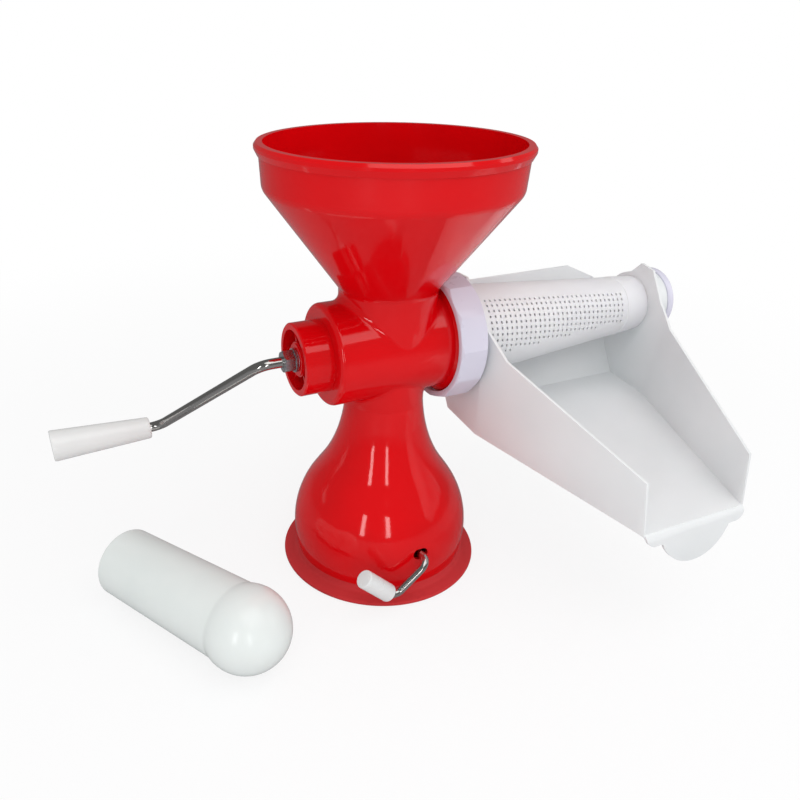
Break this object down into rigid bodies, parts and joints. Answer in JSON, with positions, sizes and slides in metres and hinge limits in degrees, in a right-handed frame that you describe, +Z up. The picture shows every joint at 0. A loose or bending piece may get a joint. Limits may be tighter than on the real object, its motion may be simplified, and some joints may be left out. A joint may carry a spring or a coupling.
{
  "type": "tomato strainer with crank",
  "caption": "hand cranked tomato strainer: funnel hopper over a barrel with auger, perforated cone, juice tray, suction foot with lever, loose pestle",
  "frame": {"origin": "middle of the suction foot's underside, on the table", "axes": "+Z up, +X along the barrel from the crank to the pulp outlet, the juice tray slopes down towards -Y"},
  "size_m": [0.5223, 0.2932, 0.341],
  "materials": {
    "red_gloss": "glossy injection moulded red plastic",
    "red_rubber": "matte red rubber",
    "white_plastic": "glossy white plastic",
    "tray_plastic": "satin milky white plastic",
    "lilac_plastic": "satin white plastic with a cool tint",
    "steel": "zinc plated drawn steel",
    "brass": "turned brass",
    "seal_rubber": "grey rubber"
  },
  "bodies": {
    "base": {"housing": "red_gloss", "suction_cup": "red_rubber", "cup_diaphragm": "red_rubber", "shaft_bush": "white_plastic", "shaft_seal": "seal_rubber", "strainer_cone": "tray_plastic", "cone_gasket": "seal_rubber", "ring_nut": "lilac_plastic", "outlet_ring": "lilac_plastic", "juice_tray": "tray_plastic"},
    "crank": {"crank_rod": "steel", "crank_washer": "steel", "crank_nut": "steel", "auger": "white_plastic", "drive_insert": "brass", "grip_washer": "steel"},
    "grip": {"crank_grip": "white_plastic", "grip_plug": "white_plastic"},
    "lever": {"lever_rod": "steel", "lever_knob": "white_plastic", "lever_clip": "steel"},
    "puller": {"cup_stem": "white_plastic"},
    "loose_pestle": {"pestle": "white_plastic"}
  },
  "joints": [
    {"name": "crank_turn", "type": "hinge", "parent": "base", "child": "crank", "pos_m": [-0.066, 0, 0.1945], "axis": [1, 0, 0], "continuous": true},
    {"name": "grip_turn", "type": "hinge", "parent": "crank", "child": "grip", "pos_m": [-0.215, 0.08045, 0.11948], "axis": [1, 0, 0], "continuous": true},
    {"name": "lever_turn", "type": "hinge", "parent": "base", "child": "lever", "pos_m": [0, 0, 0.0415], "axis": [0, 1, 0], "range_deg": [0, 120]},
    {"name": "cup_lift", "type": "slide", "parent": "base", "child": "puller", "axis": [0, 0, 1], "range_m": [0, 0.00434], "deforming": ["cup_diaphragm"]},
    {"name": "pestle_lift", "type": "slide", "parent": "base", "child": "loose_pestle", "axis": [0, 0, 1], "range_m": [0, 0.15]}
  ],
  "couplings": [
    {"joint": "cup_lift", "follows": "lever_turn", "m_per_rad": 0.0020675}
  ]
}
